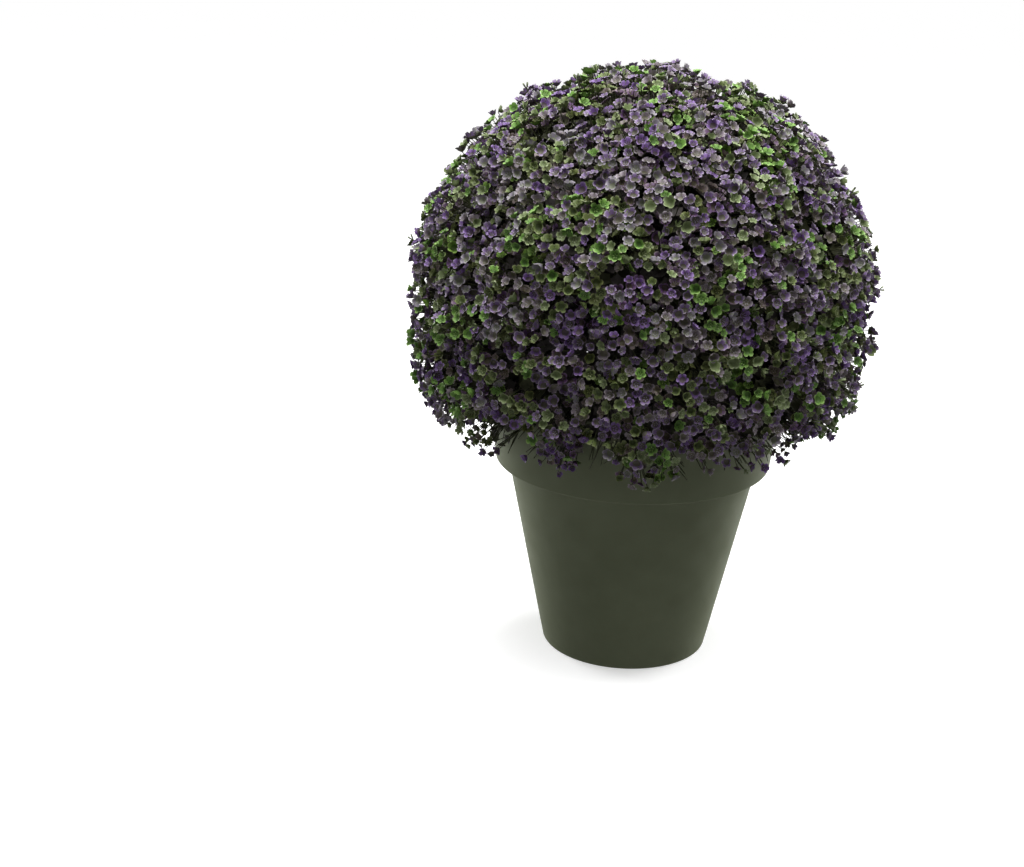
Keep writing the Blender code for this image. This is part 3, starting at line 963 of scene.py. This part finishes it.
def floret_tree():
    """Points that each get a floret of its turn, width and kind, in three colours."""
    inputs = [("Florets", "NodeSocketCollection")]
    inputs += [(band, "NodeSocketMaterial") for band in BANDS]
    tree, given = node_group("floret_setter", inputs)
    choice = {"Collection": given["Florets"], "Separate Children": True, "Reset Children": True}
    kinds = add_node(tree, "GeometryNodeCollectionInfo", choice)["Instances"]
    points = add_node(tree, "GeometryNodeMeshToPoints", {"Mesh": given["Geometry"]})["Points"]
    setting = {
        "Points": points,
        "Instance": kinds,
        "Pick Instance": True,
        "Instance Index": named_attribute(tree, "kind", "INT"),
        "Rotation": named_attribute(tree, "turn", "QUATERNION"),
        "Scale": named_attribute(tree, "width", "FLOAT"),
    }
    florets = add_node(tree, "GeometryNodeInstanceOnPoints", setting)["Instances"]
    stream = add_node(tree, "GeometryNodeRealizeInstances", {"Geometry": florets})["Geometry"]
    for number, band in enumerate(BANDS):
        operands = {2: named_attribute(tree, "band", "INT"), 3: number}
        same = add_node(tree, "FunctionNodeCompare", operands, data_type="INT", operation="EQUAL")
        painting = {"Geometry": stream, "Selection": same["Result"], "Material": given[band]}
        stream = add_node(tree, "GeometryNodeSetMaterial", painting)["Geometry"]
    add_node(tree, "NodeGroupOutput", {"Geometry": stream})
    return tree


# --- the shape of a floret
HEART, LOBE, RIM = range(3)
LOBES = 5
LOBE_SIDE = math.radians(21)  # turn from the middle of a lobe to its shoulder
SHOULDER_REACH = 0.93  # share of the tip's reach, as a lobe's end is round
LOBE_STRETCH = (0.84, 1.10)  # least and most reach of a lobe against the mean

# Name, depth of the cup, droop of its tips, reach of its notches and of the whorl inside it.
OPEN_FLORETS = (
    ("floret_open", 0.44, 0.07, 0.67, 0.0),
    ("floret_deep", 0.58, 0.03, 0.73, 0.0),
    ("floret_whorled", 0.50, 0.06, 0.66, 0.22),
    ("floret_wide", 0.36, 0.11, 0.64, 0.22),
    ("floret_flat", 0.30, 0.09, 0.61, 0.20),
    ("floret_round", 0.50, 0.02, 0.77, 0.0),
)
OPEN_KINDS = len(OPEN_FLORETS)  # the bud's kind comes after them


# A row round the cup: the reach of its lobes and notches, then the heights round a lobe.
Row = namedtuple("Row", "tip notch tip_height shoulder_height notch_height")


def cup_rows(cup, droop, notch):
    """Rows of a cup of width 1 and that depth, whose lobes curl and whose tips droop."""
    return (
        Row(0.29, 0.26, 0.42 * cup, 0.42 * cup, 0.42 * cup),
        Row(0.43, 0.44 * notch, 0.84 * cup, 0.90 * cup, 0.74 * cup),
        Row(0.50, 0.49 * notch, cup - droop, cup - 0.3 * droop, 0.84 * cup),
    )


def around(turn, reach, height):
    """A point at a turn round the axis, a reach from it and a height."""
    return (reach * math.cos(turn), reach * math.sin(turn), height)


def ring_points(row, shoulders, stretch):
    """Points of a row: lobe tips, with shoulders where asked, and notches between."""
    made = []
    for lobe in range(LOBES):
        middle = 2 * math.pi * lobe / LOBES
        for turn in (-LOBE_SIDE, 0.0, LOBE_SIDE) if shoulders else (0.0,):
            reach = row.tip * stretch[lobe] * (SHOULDER_REACH if turn else 1.0)
            height = row.shoulder_height if turn else row.tip_height
            made.append(around(middle + turn, reach, height * (2 - stretch[lobe])))
        made.append(around(middle + math.pi / LOBES, row.notch, row.notch_height))
    return made


def floret_mesh(name, cup, droop, notch, whorl):
    """A cup of five rounded uneven lobes of width 1 on its neck, with a small whorl inside."""
    chance = random.Random(name)
    stretch = [chance.uniform(*LOBE_STRETCH) for _ in range(LOBES)]
    neck, wall, rim = cup_rows(cup, droop, notch)
    small = ring_points(neck, False, stretch)
    large = ring_points(wall, True, stretch)
    points = [(0, 0, 0), *small, *large, *ring_points(rim, True, stretch)]
    first, second = 1 + len(small), 1 + len(small) + len(large)
    faces, bands = [], []
    for k in range(len(small)):
        faces.append((0, 1 + k, 1 + (k + 1) % len(small)))
    bands += [HEART] * len(faces)
    for lobe in range(LOBES):
        tip, valley = 1 + 2 * lobe, 2 + 2 * lobe
        before = 1 + (2 * lobe - 1) % len(small)
        left, top, right, notched = (first + 4 * lobe + k for k in range(4))
        last = first + (4 * lobe - 1) % len(large)
        faces += [(before, last, left), (before, left, tip), (tip, left, top)]
        faces += [(tip, top, right), (tip, right, valley), (valley, right, notched)]
    # The faces in the notches between the lobes take the heart's colour, darker than the lobes: painted
    # shade in those creases.
    bands += [HEART, LOBE, LOBE, LOBE, LOBE, HEART] * LOBES
    for k in range(len(large)):
        after = (k + 1) % len(large)
        faces.append((first + k, second + k, second + after, first + after))
    bands += [RIM] * len(large)
    if whorl:
        add_whorl(points, faces, bands, cup, whorl)
    return banded_mesh(name, points, faces, bands)


def banded_mesh(name, points, faces, bands):
    """A smooth mesh whose faces carry their band."""
    mesh = new_mesh(name, points, faces=faces)
    mesh.shade_smooth()
    store(mesh, "band", "INT", bands, "FACE")
    return mesh


# Reach, turn aside and height of a leaf's foot, middle and end, in widths of a floret.
LEAF_FOOT = ((0.15, -0.60, 0.26), (0.15, 0.60, 0.26))
SPRIG_LEAF = (*LEAF_FOOT, (0.26, 0.00, 0.30), (0.30, -0.34, 0.56), (0.30, 0.34, 0.56))


def sprig_mesh(name):
    """A narrow bud of four round-tipped leaves."""
    points, faces, bands = [(0, 0, 0)], [], []
    for leaf in range(4):
        turn = math.pi * leaf / 2
        first = len(points)
        for reach, aside, height in SPRIG_LEAF:
            points.append(around(turn + aside, reach, height))
        right, left, middle, far_right, far_left = range(first, first + 5)
        faces += [(0, left, middle), (0, middle, right), (left, far_left, middle)]
        faces += [(middle, far_left, far_right), (middle, far_right, right)]
        bands += [HEART, HEART, LOBE, RIM, LOBE]
    return banded_mesh(name, points, faces, bands)


# Reach, turn aside and height (in depths of the cup) of a whorl petal's foot and sides.
WHORL_PETAL = ((0.05, 0.00, 0.28), (0.14, 0.32, 0.56), (0.14, -0.32, 0.56))
WHORL_TIP_HEIGHT = 0.84


def add_whorl(points, faces, bands, cup, reach_out):
    """Five small upright petals inside the cup."""
    for lobe in range(LOBES):
        turn = 2 * math.pi * (lobe + 0.5) / LOBES
        first = len(points)
        for reach, aside, height in (*WHORL_PETAL, (reach_out, 0.0, WHORL_TIP_HEIGHT)):
            points.append(around(turn + aside, reach, cup * height))
        faces += [(first, first + 1, first + 3), (first, first + 3, first + 2)]
        bands += [RIM, RIM]


PLAIN_CUP = 0.40
PLAIN_TIP = 0.50
PLAIN_NOTCH = 0.36
PLAIN_NOTCH_HEIGHT = 0.85  # as a share of the cup's depth


def plain_floret_mesh(name):
    """A floret of a few faces for the inner layers."""
    points = [(0, 0, 0)]
    for lobe in range(LOBES):
        middle = 2 * math.pi * lobe / LOBES
        points.append(around(middle, PLAIN_TIP, PLAIN_CUP))
        points.append(around(middle + math.pi / LOBES, PLAIN_NOTCH, PLAIN_CUP * PLAIN_NOTCH_HEIGHT))
    faces = [(0, 1 + k, 1 + (k + 1) % (2 * LOBES)) for k in range(2 * LOBES)]
    return banded_mesh(name, points, faces, [LOBE] * len(faces))


def kind_collection(name, meshes):
    """A collection outside the scene with an object for each kind of floret."""
    collection = bpy.data.collections.new(name)
    for number, mesh in enumerate(meshes):
        collection.objects.link(bpy.data.objects.new(f"{name}_{number}", mesh))
    return collection


# --- dealing out the colours
GREEN_CLASSES = [CLASSES.index(label) for label in ("green", "pale", "olive")]
SPRIG_CLASS = CLASSES.index("pale")
# Shares of the classes in each blend of colours that a spray can be dealt.
BLENDS = (
    (0.42, 0.14, 0.10, 0.14, 0.05, 0.05, 0.10),
    (0.30, 0.40, 0.05, 0.06, 0.05, 0.04, 0.10),
    (0.22, 0.05, 0.26, 0.22, 0.06, 0.13, 0.06),
    (0.14, 0.04, 0.08, 0.08, 0.40, 0.16, 0.10),
    (0.24, 0.10, 0.05, 0.14, 0.08, 0.09, 0.30),
)
# Painted light: sprays near the top are dealt the paler classes and those near the foot the darker ones,
# as light from above falls.
BLEND_SHARES_LIT_TOP = np.array((0.26, 0.08, 0.38, 0.28, 0.00))
BLEND_SHARES_SHADED_FOOT = np.array((0.32, 0.16, 0.01, 0.17, 0.34))
BLEND_POWER = 3  # over 1, so that the top's shares hold only near the top


def deal_classes(mass, growth, number):
    """The class of each floret: a spray's blend is paler near the top of the ball and darker towards its
    foot, as painted light from above.
    """
    chance = np.random.default_rng(settings("florets").seed * 77 + number)
    blend_of = []
    for ray in spray_rays(mass, number):
        height = (1 + ray[2]) / 2
        shares = BLEND_SHARES_SHADED_FOOT + (BLEND_SHARES_LIT_TOP - BLEND_SHARES_SHADED_FOOT) * height**BLEND_POWER
        blend_of.append(chance.choice(len(BLENDS), p=shares / shares.sum()))
    draws = chance.random(len(growth.spray))
    sums = np.cumsum(np.array(BLENDS), axis=1)[np.array(blend_of)[growth.spray]]
    classes = (draws[:, None] > sums).sum(axis=1).clip(0, len(CLASSES) - 1)
    return np.where(growth.kind == OPEN_KINDS, SPRIG_CLASS, classes)


LAYER_SHADE_TINTS = ((1.0, 1.0, 1.0), (0.96, 0.90, 0.76))  # the second layer is duller and more olive: painted shade under the outer florets
INNER_SHADE = 0.14  # share of a lobe's own colour in the inner florets; the rest is the inner colour, painted shade
INNER_ROUGHNESS = 0.6


def band_materials(name, label, shade_tint):
    """The heart, lobe and rim materials of one class of floret, darkened on the under layer as painted
    shade.
    """
    made = {}
    for band in BANDS:
        tone = getattr(settings("colours"), tone_key(label, band))
        made[band] = leaf_plastic(f"{name}_{band.lower()}", [a * b for a, b in zip(shade_tint, tone)])
    return made


def inner_shade_materials(label):
    """One plain material of the inner florets, for all their bands, dark with painted shade."""
    tones = settings("colours")
    lobe = getattr(tones, tone_key(label, "Lobe"))
    base = [INNER_SHADE * a + (1 - INNER_SHADE) * b for a, b in zip(lobe, tones.inner)]
    return dict.fromkeys(BANDS, leaf_plastic(f"inner_{label}", base, INNER_ROUGHNESS))


FOLIAGE_NODES = tuple(mass.name for mass in lay_out_masses())


def add_florets(name, tree, kinds, materials, rows):
    """One piece of florets from rows of place, axis, width, spin and kind."""
    place, axis, width, spin, kind = rows
    points = new_mesh(name, place.tolist())
    turns = []
    for direction, angle in zip(axis, spin):
        turns.append(Vector(direction).to_track_quat("Z", "Y") @ Quaternion((0, 0, 1), angle))
    store(points, "turn", "QUATERNION", np.array(turns).ravel())
    store(points, "width", "FLOAT", width)
    store(points, "kind", "INT", kind)
    mesh = evaluated_mesh(name, points, tree, {"Florets": kinds, **materials})
    add_piece(name, mesh, None, FOLIAGE_NODES)


class VERBENA_OT_florets(bpy.types.Operator):
    """Set the outer florets in their colours, and the layers behind them darkened with painted shade"""

    bl_idname = "verbena.florets"
    bl_label = "Florets"

    def execute(self, context):
        tree = floret_tree()
        shapes = [floret_mesh(*kind) for kind in OPEN_FLORETS]
        open_kinds = kind_collection("open_floret", [*shapes, sprig_mesh("floret_sprig")])
        plain_kinds = kind_collection("plain_floret", [plain_floret_mesh("floret_plain")])
        growths = grown()
        keys = ("place", "axis", "width", "spin", "kind")
        rows = [np.concatenate([getattr(growth, key) for growth in growths]) for key in keys]
        layer = np.concatenate([growth.layer for growth in growths])
        dealt = []
        for number, mass in enumerate(lay_out_masses()):
            dealt.append(deal_classes(mass, growths[number], number))
        classes = np.concatenate(dealt)
        for number, label in enumerate(CLASSES):
            slot = "floret_green" if number in GREEN_CLASSES else "floret_violet"
            # The under layer gets a darker, more olive copy of each class: painted shade.
            for depth, shade_tint in enumerate(LAYER_SHADE_TINTS):
                at = (layer == depth) & (classes == number)
                name = f"{LAYERS[depth].name}_{label}"
                paints = band_materials(name, label, shade_tint)
                add_florets(name, tree, open_kinds, paints, [row[at] for row in rows])
        rows[-1] = np.zeros(len(layer), int)
        greenish = np.isin(classes, GREEN_CLASSES)
        for label, slot in (("violet", "floret_violet"), ("olive", "floret_green")):
            at = (layer >= INNER_FROM) & (greenish == (slot == "floret_green"))
            paints = inner_shade_materials(label)
            add_florets(f"inner_{label}", tree, plain_kinds, paints, [row[at] for row in rows])
        return {"FINISHED"}


TWIG_SIDES = 3


class VERBENA_OT_twigs(bpy.types.Operator):
    """Grow the twigs that carry the florets"""

    bl_idname = "verbena.twigs"
    bl_label = "Twigs"

    def execute(self, context):
        plastic = leaf_plastic("twig_plastic", settings("colours").twig)
        lines = [line for growth in grown() for line in growth.twigs]
        points = np.concatenate([line[0] for line in lines])
        radii = np.concatenate([line[1] for line in lines])
        edges, first = [], 0
        for line, _ in lines:
            edges += [(first + i, first + i + 1) for i in range(len(line) - 1)]
            first += len(line)
        source = new_mesh("twig_lines", points.tolist(), edges)
        store(source, "radius", "FLOAT", radii)
        values = {"Sides": TWIG_SIDES, "Material": plastic}
        mesh = evaluated_mesh("twigs", source, tube_tree(), values)
        add_piece("twigs", mesh, None, FOLIAGE_NODES)
        return {"FINISHED"}


# --- stage
FLOOR_REACH = 40.0
FLOOR_ROUGHNESS = 0.9
SENSOR_WIDTH = 36
OVERHEAD_PLACE = (0.22, -0.26, 2.6)
OVERHEAD_ANGLE = math.radians(60)
CANOPY_PLACE = (0, -0.06, 1.26)
CANOPY_SIZE = 1.2
FLANK_PLACES = {"flank_left": (-1.9, 1.3, 0.9), "flank_right": (1.7, 1.3, 0.9)}
FLANK_SIZE = 1.4


def add_light(name, kind, place, energy):
    """A light that faces the middle of the ball."""
    light = bpy.data.lights.new(name, kind)
    light.energy = energy
    made = add_object(name, light)
    made.location = place
    made.rotation_euler = (BALL_CENTRE - Vector(place)).to_track_quat("-Z", "Y").to_euler()
    return light


def light_studio():
    """The light from all round, and the lights above the ball and beside it."""
    chosen = settings("stage")
    world = bpy.data.worlds.new("studio")
    world.use_nodes = True
    background = world.node_tree.nodes["Background"]
    background.inputs["Color"].default_value = (1, 1, 1, 1)
    background.inputs["Strength"].default_value = chosen.sky
    bpy.context.scene.world = world
    add_light("overhead", "SUN", OVERHEAD_PLACE, chosen.overhead).angle = OVERHEAD_ANGLE
    add_light("canopy", "AREA", CANOPY_PLACE, chosen.canopy).size = CANOPY_SIZE
    for name, place in FLANK_PLACES.items():
        add_light(name, "AREA", place, chosen.flank).size = FLANK_SIZE


def lay_floor():
    """The pale floor."""
    chosen = settings("stage")
    corners = [(x * FLOOR_REACH, y * FLOOR_REACH, 0) for x, y in ((-1, -1), (1, -1), (1, 1), (-1, 1))]
    mesh = new_mesh("floor", corners, faces=[(0, 1, 2, 3)])
    material, _, shader = new_material("floor_white", chosen.floor, FLOOR_ROUGHNESS)
    shader.inputs["Emission Color"].default_value = (1, 1, 1, 1)
    shader.inputs["Emission Strength"].default_value = chosen.floor_glow
    mesh.materials.append(material)
    floor = add_object("floor", mesh)
    floor.visible_diffuse = False


def add_camera():
    """The camera, at the height and distance that the settings give."""
    chosen = settings("stage")
    pan, tilt, roll = (math.radians(angle) for angle in (chosen.pan, chosen.tilt, chosen.roll))
    ahead = Vector((math.sin(pan) * math.cos(tilt), math.cos(pan) * math.cos(tilt), -math.sin(tilt)))
    right = Vector((math.cos(pan), -math.sin(pan), 0))
    level = Matrix((right, right.cross(ahead), -ahead)).transposed().to_4x4()
    camera = add_object("camera", bpy.data.cameras.new("camera"))
    camera.data.lens = chosen.lens
    camera.data.sensor_width = SENSOR_WIDTH
    place = Matrix.Translation((0, -chosen.distance, chosen.height))
    camera.matrix_world = place @ level @ Matrix.Rotation(roll, 4, "Z")
    bpy.context.scene.camera = camera


class VERBENA_OT_stage(bpy.types.Operator):
    """Lay the floor and set the camera and lights"""

    bl_idname = "verbena.stage"
    bl_label = "Stage"

    def execute(self, context):
        bpy.context.scene.view_settings.view_transform = "Standard"
        lay_floor()
        light_studio()
        add_camera()
        return {"FINISHED"}


# --- add-on
OPERATORS = (
    VERBENA_OT_stage,
    VERBENA_OT_pot,
    VERBENA_OT_filler,
    VERBENA_OT_trunk,
    VERBENA_OT_twigs,
    VERBENA_OT_florets,
)


class VERBENA_PT_panel(bpy.types.Panel):
    """Lists the pieces and their settings"""

    bl_label = "Verbena Ball"
    bl_idname = "VERBENA_PT_panel"
    bl_space_type = "VIEW_3D"
    bl_region_type = "UI"
    bl_category = "Verbena Ball"

    def draw(self, context):
        for operator in OPERATORS:
            self.layout.operator(operator.bl_idname)
        for name in SETTING_GROUPS:
            box = self.layout.box()
            group = getattr(context.scene, name)
            for key in group.bl_rna.properties.keys():
                if key not in ("rna_type", "name"):
                    box.prop(group, key)


def register():
    for name, group in SETTING_GROUPS.items():
        bpy.utils.register_class(group)
        setattr(bpy.types.Scene, name, PointerProperty(type=group))
    for made in (*OPERATORS, VERBENA_PT_panel):
        bpy.utils.register_class(made)


def unregister():
    for made in reversed((*OPERATORS, VERBENA_PT_panel)):
        bpy.utils.unregister_class(made)
    for name, group in SETTING_GROUPS.items():
        delattr(bpy.types.Scene, name)
        bpy.utils.unregister_class(group)


def main():
    register()
    for operator in OPERATORS:
        group, name = operator.bl_idname.split(".")
        getattr(getattr(bpy.ops, group), name)()


if __name__ == "__main__":
    main()
